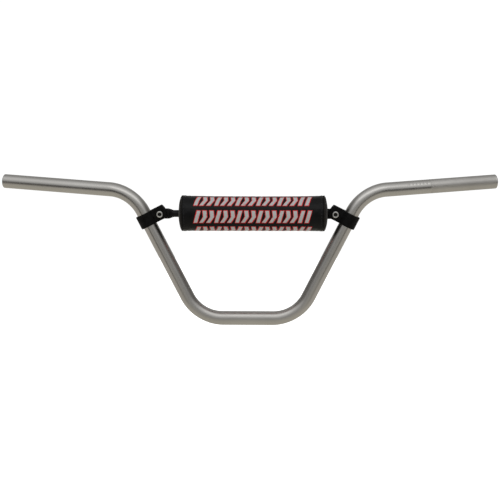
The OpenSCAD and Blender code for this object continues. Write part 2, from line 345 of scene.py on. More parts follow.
def bar_material():
    """Brushed aluminium, duller along the base, where the clamp seat is."""
    mat = surface("bar_aluminium", ((0.475, 0.464, 0.442), (0.520, 0.508, 0.486)), (14, 4), 0.25,
                  ((60, 5), 0.21, 0.28), [((2600, 2), 0.03, 0.00001), ((350, 3), 0.04, 0.00002)],
                  1.0)
    tree = mat.node_tree
    shader = tree.nodes["Principled BSDF"]
    parts = add(tree, "ShaderNodeSeparateXYZ", Vector=place_of(tree))
    seat = add(tree, "ShaderNodeMapRange", Value=parts.outputs["Z"], From_Min=0.015,
               From_Max=0.07, To_Min=0.10, To_Max=0.0)
    rough = add(tree, "ShaderNodeMath", operation="ADD")
    feed(tree, rough.inputs[0], shader.inputs["Roughness"].links[0].from_socket)
    feed(tree, rough.inputs[1], seat.outputs["Result"])
    feed(tree, shader.inputs["Roughness"], rough.outputs["Value"])
    return mat


def vinyl(name, dark, light, rough):
    """Coated cloth: fine pebbled grain, soft creases and uneven gloss."""
    return surface(name, (dark, light), (70, 4), rough, ((45, 5), rough - 0.05, rough + 0.07),
                   [(1400, 0.22, 0.0001), ((160, 3), 0.15, 0.0003)], Specular_IOR_Level=0.17)


def woven(name, dark, light, threads):
    """Woven cloth, with threads in each metre."""
    mat = surface(name, (dark, light), (180, 4), 0.85, Sheen_Weight=0.08, Sheen_Roughness=0.5)
    tree = mat.node_tree
    heights = []
    for direction in ("Y", "Z"):
        wave = add(tree, "ShaderNodeTexWave", bands_direction=direction, Vector=place_of(tree),
                   Scale=threads / 20)
        heights.append((wave.outputs["Fac"], 0.35, 0.0002))
    heights.append((pattern(tree, (900, 3)), 0.3, 0.0002))
    bump(tree, tree.nodes["Principled BSDF"], heights)
    return mat


def ink(name, dark, light):
    return surface(name, (dark, light), (420, 5), 0.42, ((160, 4), 0.38, 0.50),
                   [(1400, 0.15, 0.0001)])


BAR = bar_material()
ETCHED = surface("bar_etched", ((0.39, 0.38, 0.365), (0.43, 0.42, 0.405)), (900, 3), 0.38,
                 bumps=[((3000, 2), 0.2, 0.00004)], metallic=1.0)
KNURLED = surface("bar_knurled", ((0.485, 0.474, 0.452), (0.535, 0.522, 0.500)), (30, 4), 0.38,
                  ((300, 4), 0.33, 0.43), [((2600, 2), 0.05, 0.00002)], 1.0)
BLACK_BAR = surface("crossbar_black", ((0.004, 0.004, 0.0045), (0.008, 0.008, 0.0085)), (40, 4),
                    0.32, ((180, 4), 0.27, 0.40), [((1800, 3), 0.15, 0.00008)],
                    Specular_IOR_Level=0.2)
CLAMP = surface("clamp_black", ((0.002, 0.002, 0.002), (0.006, 0.006, 0.0065)), (220, 5), 0.5,
                ((1500, 4), 0.42, 0.60), [((1500, 4), 0.5, 0.00012), ((400, 3), 0.25, 0.0002)],
                Specular_IOR_Level=0.1)
ZINC = surface("zinc_steel", ((0.55, 0.56, 0.55), (0.68, 0.68, 0.65)), (250, 4), 0.3,
               ((700, 4), 0.24, 0.38), [((2500, 2), 0.12, 0.00005)], 1.0)
# painted shade: a near-black material for the inside of the bolts' hexagon sockets, standing in
# for the shade in the recess
SOCKET_SHADE = surface("socket_painted_shade", ((0.006, 0.006, 0.006), (0.022, 0.021, 0.019)), (900, 3), 0.55,
                 bumps=[((1600, 2), 0.15, 0.00005)], Specular_IOR_Level=0.3)
NYLON = surface("nut_nylon", ((0.62, 0.63, 0.58), (0.74, 0.75, 0.70)), (600, 3), 0.45,
                bumps=[((1500, 2), 0.1, 0.00005)])
VINYL = vinyl("cover_vinyl", (0.0014, 0.0014, 0.0017), (0.0028, 0.0028, 0.0033), 0.30)
PIPING = vinyl("piping_vinyl", (0.010, 0.009, 0.008), (0.018, 0.016, 0.014), 0.5)
PANEL = woven("panel_fabric", (0.009, 0.0075, 0.006), (0.016, 0.0135, 0.011), 1600)
THREAD = woven("seam_thread", (0.010, 0.010, 0.011), (0.022, 0.022, 0.024), 3000)
FOAM = surface("pad_foam", ((0.016, 0.016, 0.017), (0.045, 0.045, 0.046)), 900, 0.9,
               bumps=[(900, 0.6, 0.0004)])
TAPE = surface("hook_loop", ((0.010, 0.010, 0.011), (0.04, 0.04, 0.042)), (1600, 4), 0.95,
               bumps=[((2200, 4), 0.9, 0.0004)], Sheen_Weight=0.4)
GREY_INK = ink("print_grey", (0.58, 0.58, 0.585), (0.66, 0.66, 0.665))
RED_INK = ink("print_red", (0.74, 0.012, 0.016), (0.84, 0.022, 0.026))
FLOOR = surface("floor", ((0.89, 0.89, 0.88), (0.91, 0.91, 0.90)), (3, 3), 0.9,
                Emission_Color=(1, 1, 1, 1), Emission_Strength=1.0)


def place(obj, mat, body, slot, *nodes):
    """Gives a piece its material and its body, and hides the CAD nodes it stands for. slot is not
    used.
    """
    obj.data.materials.clear()
    obj.data.materials.append(mat)
    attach(obj, body)
    if nodes:
        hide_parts(*nodes)
    return obj


# ------------------------------------------------------------------ bar

BAR_SEGMENTS = 124           # an even number: the knurl alternates round the bar
KNURL_STEP = 0.56 * MM       # half the pitch of the diamonds
KNURL_ROWS = 190
KNURL_TIP = 3.0 * MM         # plain tube outboard of the knurl
KNURL_RISE = 0.04 * MM
KNURL_CUT = 0.13 * MM
MARKS = 6                    # etched ticks of the position scale inboard of the knurl
MARK_STEP = 5.7 * MM
MARK_HALF = 0.5 * MM
MARK_CUT = 0.02 * MM
MARK_FROM, MARK_TO = 142, 161   # a tick's two ends, in degrees from the back over the top
BEND_FLAT = 0.7 * MM         # how far a bend's outer side is drawn in

Station = namedtuple("Station", "point direction change knurl marked outward",
                     defaults=(0.0, None, False, Vector()))


def bend(centre, towards, across, angle, step):
    """Stations of a bend that starts in one direction and turns to another at right angles to
    it. The outer side of the tube is flattest in the middle."""
    n = round(angle / step)
    out = []
    for i in range(n):
        t = angle * i / n
        outward = towards * math.sin(t) - across * math.cos(t)
        direction = towards * math.cos(t) + across * math.sin(t)
        out.append(Station(centre + outward * BEND_R, direction,
                           outward=outward * BEND_FLAT * math.sin(math.pi * i / n)))
    return out


def half_path(bend_step, straight_step):
    """Stations of the left half from the middle out, and where its arm starts."""
    corner = ARM_MID - ARM_DIR * (ARM_MID.y / ARM_DIR.y)
    turn = LEG_DIR.angle(ARM_DIR)
    tangent = BEND_R * math.tan(turn / 2)
    upper_start = corner - LEG_DIR * tangent
    side = (ARM_DIR - LEG_DIR * ARM_DIR.dot(LEG_DIR)).normalized()
    arm_start = corner + ARM_DIR * tangent
    lower_centre = Vector((BASE_HALF, 0, BEND_R))
    lower_end = lower_centre + Vector((math.sin(LEG_ANGLE), 0, -math.cos(LEG_ANGLE))) * BEND_R
    along, up = Vector((1, 0, 0)), Vector((0, 0, 1))

    def straight(a, b, direction):
        n = max(1, round((b - a).length / straight_step))
        return [Station(a.lerp(b, i / n), direction) for i in range(n)]

    out = straight(Vector(), along * BASE_HALF, along)
    out += bend(lower_centre, along, up, LEG_ANGLE, bend_step)
    out += straight(lower_end, upper_start, LEG_DIR)
    out += bend(upper_start + side * BEND_R, LEG_DIR, side, turn, bend_step)
    out += straight(arm_start, arm_start + ARM_DIR * ARM_LEN, ARM_DIR)
    return out, arm_start


def with_frames(stations):
    """Pairs each station with a cross direction that turns with the path and starts along Y."""
    across = Vector((0, 1, 0))
    last = stations[0].direction
    out = []
    for station in stations:
        across = last.rotation_difference(station.direction) @ across
        last = station.direction
        out.append((station, across))
    return out


def left_surface(stations, arm_start):
    """The left half of the outer skin, with the position marks and the knurl on the arm."""
    def on_arm(at, **values):
        return Station(arm_start + ARM_DIR * at, ARM_DIR, **values)

    knurl_start = ARM_LEN - KNURL_TIP - KNURL_ROWS * KNURL_STEP
    plain_end = knurl_start - MARKS * MARK_STEP
    kept = [s for s in stations
            if s.direction is not ARM_DIR or (s.point - arm_start).length < plain_end - 2 * MM]
    for i in range(MARKS):
        at = plain_end + i * MARK_STEP
        for offset, marked in ((-1.15, False), (-1, True), (1, True), (1.15, False)):
            kept.append(on_arm(at + offset * MARK_HALF, marked=marked))
    kept.append(on_arm(knurl_start - 0.6 * MM))
    for i in range(KNURL_ROWS + 1):
        kept.append(on_arm(knurl_start + i * KNURL_STEP, knurl=i))
    return kept + rounded_end(arm_start)


def rounded_end(arm_start):
    """The last stations of an arm: a rounded outer edge."""
    out = [Station(arm_start + ARM_DIR * (ARM_LEN - 2.2 * MM), ARM_DIR)]
    round_r = 1.3 * MM
    for step in range(7):
        a = math.radians(15 * step)
        out.append(Station(arm_start + ARM_DIR * (ARM_LEN - round_r + round_r * math.sin(a)),
                           ARM_DIR, -round_r * (1 - math.cos(a))))
    return out


def in_tick(column):
    return MARK_FROM <= 360 * (column + 0.5) / BAR_SEGMENTS <= MARK_TO


def ring_at(framed, radius, side):
    """One ring of the skin. side is 1 on the left and -1 on the right."""
    station, n1 = framed
    point, direction, outward = station.point, station.direction, station.outward
    if side < 0:
        point, n1, outward = mirrored(point), mirrored(n1), mirrored(outward)
        direction = Vector((direction.x, -direction.y, -direction.z))
    n2 = direction.cross(n1)
    out = []
    for j in range(BAR_SEGMENTS):
        a = TAU * j / BAR_SEGMENTS
        r = radius + station.change
        if station.knurl is not None:
            r += KNURL_RISE if (station.knurl + j) % 2 else -KNURL_CUT
        if station.marked and (in_tick(j) or in_tick(j - 1)):
            r -= MARK_CUT
        spoke = n1 * math.cos(a) + n2 * math.sin(a)
        drawn_in = max(0.0, spoke.dot(outward))
        out.append(point + spoke * r - outward.normalized() * drawn_in)
    return out


def make_bar():
    stations, arm_start = half_path(math.radians(2.5), 6 * MM)
    left = with_frames(left_surface(stations, arm_start))
    right = with_frames(stations + rounded_end(arm_start))
    inner, _ = half_path(math.radians(6), 20 * MM)
    bore_end = [Station(arm_start + ARM_DIR * (ARM_LEN - 0.7 * MM), ARM_DIR),
                Station(arm_start + ARM_DIR * ARM_LEN, ARM_DIR, 0.7 * MM)]
    inner = with_frames(inner + bore_end)
    rings = [ring_at(s, BAR_R, -1) for s in reversed(right[1:])]
    first_left = len(rings)
    rings += [ring_at(s, BAR_R, 1) for s in left]
    rings += [ring_at(s, BORE_R, 1) for s in reversed(inner)]
    rings += [ring_at(s, BORE_R, -1) for s in inner[1:]]

    count = BAR_SEGMENTS
    verts = [v for ring in rings for v in ring]
    faces, smooth, finish = [], [], []
    for i in range(len(rings)):
        a, b = i * count, (i + 1) % len(rings) * count
        at = i - first_left
        on_left = 0 <= at < len(left) - 1
        here, there = (left[at][0], left[at + 1][0]) if on_left else (None, None)
        cut = on_left and here.knurl is not None and there.knurl is not None
        ticks = on_left and here.marked and there.marked
        for j in range(count):
            k = (j + 1) % count
            quad = (a + j, a + k, b + k, b + j)
            if not cut:
                faces.append(quad)
            elif (here.knurl + j) % 2:
                faces += [(quad[1], quad[2], quad[3]), (quad[1], quad[3], quad[0])]
            else:
                faces += [(quad[0], quad[1], quad[2]), (quad[0], quad[2], quad[3])]
            new = 2 if cut else 1
            smooth += [not cut] * new
            finish += [2 if cut else 1 if ticks and in_tick(j) else 0] * new
    obj = link("bar_tube", verts, faces)
    obj.data.polygons.foreach_set("use_smooth", smooth)
    face_outwards(obj)
    sharpen(obj, 40)
    place(obj, BAR, "bar", "bar_aluminium", "handlebar_tube")
    obj.data.materials.append(ETCHED)
    obj.data.materials.append(KNURLED)
    obj.data.polygons.foreach_set("material_index", finish)
    return obj


# ------------------------------------------------------------------ crossbar


def crossbar_ring(x, half_w, half_t, squareness, count=56):
    ring = []
    for j in range(count):
        a = TAU * j / count
        c, s = math.cos(a), math.sin(a)
        z = half_w * math.copysign(abs(c) ** (2 / squareness), c)
        y = half_t * math.copysign(abs(s) ** (2 / squareness), s)
        ring.append(Vector((x, y, CROSS_Z + z)))
    return ring


def make_crossbar():
    half = [(0.0, CROSS_R, CROSS_R, 2.0), (60 * MM, CROSS_R, CROSS_R, 2.0)]
    start = BOLT_X - FLAT_LEN - TAPER_LEN
    for i in range(13):
        t = smoothstep(i / 12)
        half.append((start + TAPER_LEN * 1.6 * i / 12,
                     CROSS_R + (FLAT_HALF_W - CROSS_R) * t,
                     CROSS_R + (FLAT_HALF_T - CROSS_R) * t, 2.0 + 3.5 * t))
    for i in range(4):
        half.append((BOLT_X - 10 * MM + 10 * MM * i / 3, FLAT_HALF_W, FLAT_HALF_T, 5.5))
    for i in range(1, 13):
        a = math.radians(7.2 * i)
        half.append((BOLT_X + FLAT_HALF_W * math.sin(a), FLAT_HALF_W * math.cos(a),
                     FLAT_HALF_T * (1 - 0.25 * smoothstep((i - 8) / 4)), 5.5))
    rings = [crossbar_ring(-x, *rest) for x, *rest in reversed(half[1:])]
    rings += [crossbar_ring(x, *rest) for x, *rest in half]
    obj = loft("crossbar_tube", rings)
    for side in (-1, 1):
        x = side * BOLT_X
        drill(obj, (x, -EAR_Y, CROSS_Z), (x, EAR_Y, CROSS_Z), BOLT_HOLE_R)
    sharpen(obj, 32)
    return place(obj, BLACK_BAR, "bar", "crossbar_black", "crossbar")


# ------------------------------------------------------------------ clamps and fasteners


def clamp_strip(reach, inset):
    """Inner and outer points of the clamp's section, from the upper ear's tip round the band to
    the lower ear's tip. inset shrinks the outer edge."""
    band = BAR_R + BAND_T
    neck_x = math.sqrt((band + NECK_R) ** 2 - (EAR_Y + NECK_R) ** 2)
    slot_x = math.sqrt(BAR_R ** 2 - FLAT_HALF_T ** 2)
    edge = 0.7 * MM
    ear = []
    for t in (0.0, 0.35, 1.0):
        drop = edge * (1 - math.sqrt(1 - (1 - t) ** 2))
        ear.append(((reach - edge * t, FLAT_HALF_T + drop), (reach - edge * t, EAR_Y - drop)))
    for i in range(1, 7):
        x = reach - edge + (neck_x - reach + edge) * i / 6
        ear.append(((x, FLAT_HALF_T), (x, EAR_Y)))
    meet = math.degrees(math.atan2(EAR_Y + NECK_R, neck_x))
    for i, (x, y) in enumerate(arc(neck_x, EAR_Y + NECK_R, NECK_R, 270, 180 + meet, 6)[1:], 1):
        ear.append(((neck_x + (slot_x - neck_x) * i / 6, FLAT_HALF_T), (x, y)))
    slot_angle = math.degrees(math.asin(FLAT_HALF_T / BAR_R))
    steps = 44
    ring = []
    for i in range(1, steps + 1):
        t = i / steps
        a = math.radians(slot_angle + (180 - slot_angle) * t)
        b = math.radians(meet + (180 - meet) * t)
        ring.append(((BAR_R * math.cos(a), BAR_R * math.sin(a)),
                     (band * math.cos(b), band * math.sin(b))))
    half = ear + ring
    strip = half + [((a, -b), (c, -d)) for (a, b), (c, d) in reversed(half[:-1])]
    outer = [Vector(o) for _, o in strip]
    moved = []
    for i, p in enumerate(outer):
        along = (outer[min(i + 1, len(outer) - 1)] - outer[max(i - 1, 0)]).normalized()
        moved.append(p + Vector((-along.y, along.x)) * inset)
    return [(a, (m.x, m.y)) for (a, _), m in zip(strip, moved)]


def make_clamp(side, name):
    """One piece: a split band round the leg with two ears that hold the crossbar between them."""
    corner = Vector((BASE_HALF + BEND_R * math.tan(LEG_ANGLE / 2), 0, 0))
    to_bolt = Vector((BOLT_X, 0, CROSS_Z)) - corner
    foot = corner + LEG_DIR * to_bolt.dot(LEG_DIR)
    across = Vector((BOLT_X, 0, CROSS_Z)) - foot
    bolt_reach = across.length
    foot += LEG_DIR * CLAMP_SHIFT
    x_dir, y_dir, z_dir = across.normalized(), Vector((0, 1, 0)), LEG_DIR
    half_w, corner_r, end_r, edge = CLAMP_W / 2, 3.0 * MM, 26.0 * MM, 0.8 * MM

    def reach_at(z):
        tip = bolt_reach + EAR_REACH
        over = max(0.0, abs(z) - (half_w - corner_r))
        return min(tip - end_r + math.sqrt(end_r ** 2 - z ** 2),
                   tip - corner_r + math.sqrt(corner_r ** 2 - over ** 2))

    zs = [(half_w - corner_r) * i / 6 for i in range(6)]
    zs += [half_w - corner_r + corner_r * math.sin(math.radians(9 * i)) for i in range(11)]
    zs = [-z for z in reversed(zs[1:])] + zs
    rings, counts = [], 0
    for z in zs:
        depth = half_w - abs(z)
        inset = edge - math.sqrt(max(0.0, edge ** 2 - max(0.0, edge - depth) ** 2))
        strip = clamp_strip(reach_at(z) - inset, inset)
        counts = len(strip)
        ring = [i for i, _ in strip] + [o for _, o in reversed(strip)]
        rings.append([foot + x_dir * x + y_dir * y + z_dir * z for x, y in ring])
    total = 2 * counts
    verts = [v for ring in rings for v in ring]
    faces = strip_faces(len(rings), total)
    for start in (0, (len(rings) - 1) * total):
        for i in range(counts - 1):
            faces.append((start + i, start + i + 1, start + total - 2 - i, start + total - 1 - i))
    if side < 0:
        verts = [mirrored(v) for v in verts]
    obj = face_outwards(link(name, verts, faces))
    x = side * BOLT_X
    drill(obj, (x, -2 * EAR_Y, CROSS_Z), (x, 2 * EAR_Y, CROSS_Z), BOLT_HOLE_R)
    sharpen(obj, 32)
    return obj


def hexagon(flat_r):
    def radius(angle):
        third = TAU / 6
        return flat_r / math.cos((angle + third / 2) % third - third / 2)
    return radius


def knurled(radius, flutes, depth):
    def at(angle):
        return radius - depth * (0.5 + 0.5 * math.cos(flutes * angle)) ** 2
    return at


def make_bolt(side, name):
    origin = Vector((side * BOLT_X, -EAR_Y, CROSS_Z))
    grip = knurled(HEAD_R, 36, 0.22 * MM)
    socket = hexagon(2.5 * MM)
    profile = [(0.3 * MM, BOLT_LEN)]
    for i in range(5):
        profile.append((BOLT_R - 0.8 * MM * (1 - i / 4) - 0.2 * MM, BOLT_LEN - 0.2 * MM * i))
    profile += [(BOLT_R - 0.2 * MM, 14 * MM), (BOLT_R, 13.5 * MM), (BOLT_R, 0.3 * MM),
                (HEAD_R - 0.5 * MM, 0.0), (HEAD_R - 0.15 * MM, -0.1 * MM)]
    profile += [(grip, -0.5 * MM), (grip, -HEAD_H + 1.3 * MM)]
    for i in range(7):
        a = math.radians(15 * i)
        profile.append((HEAD_R - 0.9 * MM * (1 - math.cos(a)),
                        -HEAD_H + 0.9 * MM * (1 - math.sin(a))))
    profile += [(3.4 * MM, -HEAD_H), (3.15 * MM, -HEAD_H + 0.1 * MM), (socket, -HEAD_H + 0.4 * MM),
                (socket, -HEAD_H + 3 * MM), (1.8 * MM, -HEAD_H + 3.3 * MM),
                (0.3 * MM, -HEAD_H + 3.9 * MM)]
    head = loft(name, turned(origin, (0, 1, 0), profile, 180))
    thread = make_thread(origin, THREAD_FROM, BOLT_LEN - 0.7 * MM, THREAD_PITCH)
    return sharpen(join([head, thread], name), 35)


def paint_socket_shade(bolt, side):
    """Paints shade into the hexagon socket: its inside faces get a near-black material that stands
    in for the shade in the recess.
    """
    bolt.data.materials.append(SOCKET_SHADE)
    for face in bolt.data.polygons:
        c = face.center
        off = math.hypot(c.x - side * BOLT_X, c.z - CROSS_Z)
        if c.y < -EAR_Y - 2 * MM and c.y > -EAR_Y - HEAD_H + 0.25 * MM and off < 3.0 * MM:
            face.material_index = 1


def make_thread(origin, start, end, pitch):
    """The helical ridge of a bolt's thread, as a closed band wound round the shank."""
    steps_per_turn, ridge = 32, 0.55 * MM
    turns = (end - start) / pitch
    rings = []
    for i in range(int(turns * steps_per_turn) + 1):
        a = TAU * i / steps_per_turn
        y = start + pitch * i / steps_per_turn
        rise = smoothstep(min(i, turns * steps_per_turn - i) / 12)
        outward = Vector((math.cos(a), 0, math.sin(a)))
        ring = []
        for r, dy in ((BOLT_R - 0.35 * MM, -0.42), (BOLT_R - 0.22 * MM + 0.2 * MM * rise, -0.08),
                      (BOLT_R - 0.22 * MM + 0.2 * MM * rise, 0.08), (BOLT_R - 0.35 * MM, 0.42)):
            ring.append(origin + outward * r + Vector((0, y + dy * ridge * 2, 0)))
        rings.append(ring)
    return loft("thread", rings)


def make_nut(side, name):
    """A lock nut: chamfered hexagon below, round collar above, open over its nylon ring."""
    origin = Vector((side * BOLT_X, EAR_Y + WASHER_T, CROSS_Z))
    flat = 5.0 * MM
    hexa = hexagon(flat)

    def chamfered(limit):
        return lambda a: min(hexa(a), limit)

    profile = [(BOLT_R + 0.02 * MM, 4.0 * MM), (BOLT_R + 0.02 * MM, 0.4 * MM),
               (BOLT_R + 0.5 * MM, 0.0), (flat - 0.1 * MM, 0.0),
               (chamfered(flat + 0.15 * MM), 0.12 * MM), (chamfered(flat + 0.5 * MM), 0.4 * MM),
               (chamfered(2 * flat), 0.8 * MM), (chamfered(2 * flat), 3.5 * MM),
               (chamfered(flat + 0.45 * MM), 4.0 * MM), (chamfered(flat + 0.1 * MM), 4.25 * MM)]
    profile += in_mm((4.75, 4.45), (4.65, 5.2), (4.45, 5.7), (4.1, 5.95), (3.8, 5.95),
                     (3.55, 5.7), (3.55, 5.52), (3.95, 5.5), (3.98, 4.15), (3.3, 4.05))
    return sharpen(loft(name, turned(origin, (0, 1, 0), profile, 120), closed_rows=True), 30)


def make_insert(side, name):
    origin = Vector((side * BOLT_X, EAR_Y + WASHER_T + 4.1 * MM, CROSS_Z))
    profile = in_mm((3.05, 0.1), (3.95, 0.08), (3.95, 1.3), (3.6, 1.42), (3.2, 1.3), (3.05, 1.1))
    return loft(name, turned(origin, (0, 1, 0), profile, 64), closed_rows=True)


def make_washer(side, name):
    origin = Vector((side * BOLT_X, EAR_Y, CROSS_Z))
    t, r, hole = WASHER_T, 6.0 * MM, 3.2 * MM
    edge = 0.18 * MM
    profile = [(hole, edge), (hole + edge, 0.0), (r - edge, 0.0), (r, edge), (r, t - 2 * edge),
               (r - 2 * edge, t), (hole + edge, t), (hole, t - edge)]
    return sharpen(loft(name, turned(origin, (0, 1, 0), profile, 72), closed_rows=True), 50)


def make_fasteners():
    for side, word in ((1, "left"), (-1, "right")):
        for make, piece, mat, slot, node in (
                (make_clamp, "bar_clamp", CLAMP, "clamp_black", "clamp"),
                (make_bolt, "socket_bolt", ZINC, "zinc_steel", "clamp_bolt"),
                (make_washer, "flat_washer", ZINC, "zinc_steel", "nut_washer"),
                (make_nut, "lock_nut", ZINC, "zinc_steel", "clamp_nut"),
                (make_insert, "nylon_ring", NYLON, "nut_nylon", "nut_insert")):
            obj = place(make(side, f"{word}_{piece}"), mat, "bar", slot, f"{word}_{node}")
            # the bolt's hexagon socket gets painted shade on its inside faces
            if make is make_bolt:
                paint_socket_shade(obj, side)


# ------------------------------------------------------------------ pad

COVER_ACROSS = 180           # columns of the cover's mesh round the pad
COVER_ALONG = 110
SEAM_HALF = 2.1              # degrees from the seam's middle to each edge of the cover
FLARE = 0.55 * MM            # how far the cover stands out at its sewn ends
SIM_SCALE = 10               # the cloth is worked out this much larger than life, because the
                             # solver keeps surfaces at least 1 mm apart
SIM_FRAMES = 20
CLOTH_EXCESS = 0.004         # share by which the cover is cut too large for its foam
FOAM_PUSH = 2.0              # outward pressure of the foam on the cover
FOAM_GAP = 0.3 * MM          # how far the foam lies under the cloth at the start
PUCKER = 0.16 * MM           # depth of the puckers beside the seams
LUMP = 0.16 * MM             # size of the uneven noise that is added to the cover
SEAM_STITCHES, FLAP_STITCHES = 34, 39
STITCH_PITCH = 5.0 * MM
THREAD_R = 0.3 * MM
END_SWELL = 0.045            # share of the radius that the sewn ends add on the upper side


def on_foam(x, angle, radius):
    """A point from its place along the pad, its direction in degrees and its radius."""
    a = math.radians(angle)
    return Vector((PAD_X + x, -radius * math.cos(a), CROSS_Z + radius * math.sin(a)))


def swell(x, angle):
    """How much wider the cover stands near its sewn ends, most on its upper side."""
    upper = 0.5 + 0.5 * math.sin(math.radians(angle))
    return 1 + END_SWELL * min(1.0, abs(x) / COVER_HALF) ** 3 * upper


def on_pad(x, angle, radius):
    """A point on or near the cover, from its place on an even round pad."""
    return on_foam(x, angle, radius * swell(x, angle))


def outward_at(x, angle):
    return (on_pad(x, angle, 1.0) - on_pad(x, angle, 0.0)).normalized()


def cover_grid(radius):
    start, stop = SEAM_ANGLE + SEAM_HALF, SEAM_ANGLE + 360 - SEAM_HALF
    points = []
    for i in range(COVER_ALONG):
        x = -COVER_HALF + 2 * COVER_HALF * i / (COVER_ALONG - 1)
        for j in range(COVER_ACROSS):
            angle = start + (stop - start) * j / (COVER_ACROSS - 1)
            points.append((x, angle, radius))
    return points


def simulate_cover():
    """How far each point of the cover moves out or in when it is put on: a cloth pinned at its
    sewn edges, a little too large, over foam that pushes it out and that it can't enter."""
    grid = cover_grid(PAD_R)
    # the faces look outward, which is the side that the pressure and the foam act on
    faces = [f[::-1] for f in strip_faces(COVER_ALONG, COVER_ACROSS, closed_count=False)]
    obj = link("cloth_try", [on_pad(*p) * SIM_SCALE for p in grid], faces)
    core = link("foam_try", [on_pad(x, angle, r - FOAM_GAP) * SIM_SCALE for x, angle, r in grid],
                faces)
    core.modifiers.new("collision", "COLLISION")
    core.collision.thickness_outer = 0.001
    core.collision.cloth_friction = 5
    pins = obj.vertex_groups.new(name="pins")
    for i in range(COVER_ALONG):
        for j in range(COVER_ACROSS):
            at_end = i < 2 or i > COVER_ALONG - 3
            at_seam = j < 3 or j > COVER_ACROSS - 4
            if at_end or at_seam:
                pins.add([i * COVER_ACROSS + j], 1.0, "REPLACE")
    cloth = obj.modifiers.new("cloth", "CLOTH")
    s = cloth.settings
    s.quality = 6
    s.mass = 0.25
    s.air_damping = 3
    s.tension_stiffness = s.compression_stiffness = 25
    s.tension_damping = s.compression_damping = 15
    s.shear_stiffness = 12
    s.bending_stiffness = 1.5
    s.vertex_group_mass = "pins"
    s.shrink_min = -CLOTH_EXCESS
    s.use_pressure = True
    s.uniform_pressure_force = FOAM_PUSH
    s.effector_weights.gravity = 0
    cloth.collision_settings.distance_min = 0.001
    cloth.collision_settings.collision_quality = 3
    scene = bpy.context.scene
    scene.frame_start, scene.frame_end = 1, SIM_FRAMES
    for f in range(1, SIM_FRAMES + 1):
        scene.frame_set(f)
    graph = bpy.context.evaluated_depsgraph_get()
    moved = obj.evaluated_get(graph).to_mesh()
    change = []
    for (x, angle, radius), v in zip(grid, moved.vertices):
        now = Vector((0, v.co.y / SIM_SCALE, v.co.z / SIM_SCALE - CROSS_Z)).length
        change.append(now - radius * swell(x, angle))
    for helper in (obj, core):
        bpy.data.objects.remove(helper)
    scene.frame_set(1)
    return np.array(change).reshape(COVER_ALONG, COVER_ACROSS)


def cover_radius_at(x, angle, change):
    """Radius of the cover before its thickness: slack in the middle, flared at the sewn ends,
    with short puckers where the seam gathers it."""
    end = (COVER_HALF - abs(x)) / MM
    flare = FLARE * math.exp(-end / 9)
    a = math.radians(angle)
    pucker = PUCKER * math.exp(-end / 6) * math.sin(a * SEAM_STITCHES / 2 + (x > 0) * 1.3)
    lump = LUMP * noise.noise(Vector((x * 22, math.cos(a) * 1.1, math.sin(a) * 1.1)))
    return PAD_R - 0.05 * MM + change + flare + pucker + lump


def make_cover():
    change = simulate_cover()
    outer, inner = [], []
    for index, (x, angle, _) in enumerate(cover_grid(PAD_R)):
        r = cover_radius_at(x, angle, change[index // COVER_ACROSS, index % COVER_ACROSS])
        outer.append(on_pad(x, angle, r))
        inner.append(on_pad(x, angle, r - COVER_T))
    obj = face_outwards(link("pad_vinyl_cover", outer + inner,
                             shell_faces(COVER_ALONG, COVER_ACROSS)))
    sharpen(obj, 50)
    place(obj, VINYL, "pad_cover", "cover_vinyl", "pad_cover")
    return BVHTree.FromPolygons([v.co.copy() for v in obj.data.vertices],
                                [tuple(p.vertices) for p in obj.data.polygons])


def surface_radius(tree, x, angle):
    """Radius of the finished cover at a place, or its nominal radius over the open seam."""
    out, centre = on_pad(x, angle, PAD_R + 10 * MM), on_pad(x, angle, 0.0)
    hit = tree.ray_cast(out, (centre - out).normalized(), 15 * MM)[0]
    return PAD_R if hit is None else (hit - centre).length / swell(x, angle)


def make_foam():
    """A split round of closed-cell foam with domed ends and room for the flattened crossbar."""
    slit = 1.3               # degrees from the slit's middle to each face
    bore = CROSS_R + 0.3 * MM
    profile = [(bore, -FOAM_HALF + 14 * MM), (EYE_R, -FOAM_HALF + 13 * MM), (EYE_R, -FOAM_HALF),
               (15 * MM, -FOAM_HALF + 0.9 * MM), (20 * MM, -FOAM_HALF + 2.1 * MM),
               (PANEL_R - 0.9 * MM, -FOAM_HALF + 3.4 * MM),
               (PANEL_R - 0.4 * MM, -FOAM_HALF + 7.6 * MM),
               (FOAM_R - 0.6 * MM, -COVER_HALF + 1.2 * MM), (FOAM_R, -COVER_HALF + 2.5 * MM)]
    profile += [(r, -x) for r, x in reversed(profile)]
    columns = 96
    verts = []
    for j in range(columns):
        angle = SEAM_ANGLE + slit + (360 - 2 * slit) * j / (columns - 1)
        verts += [on_foam(x, angle, r) for r, x in profile]
    faces = strip_faces(columns, len(profile))
    faces += [tuple(range(len(profile))), tuple((columns - 1) * len(profile) + i
                                                for i in range(len(profile)))]
    obj = face_outwards(link("pad_foam", verts, faces))
    bm = bmesh.new()
    bm.from_mesh(obj.data)
    bmesh.ops.triangulate(bm, faces=[f for f in bm.faces if len(f.verts) > 4])
    bm.to_mesh(obj.data)
    bm.free()
    sharpen(obj, 40)
    place(obj, FOAM, "pad_core", "pad_foam", "pad_foam_core")
    return obj


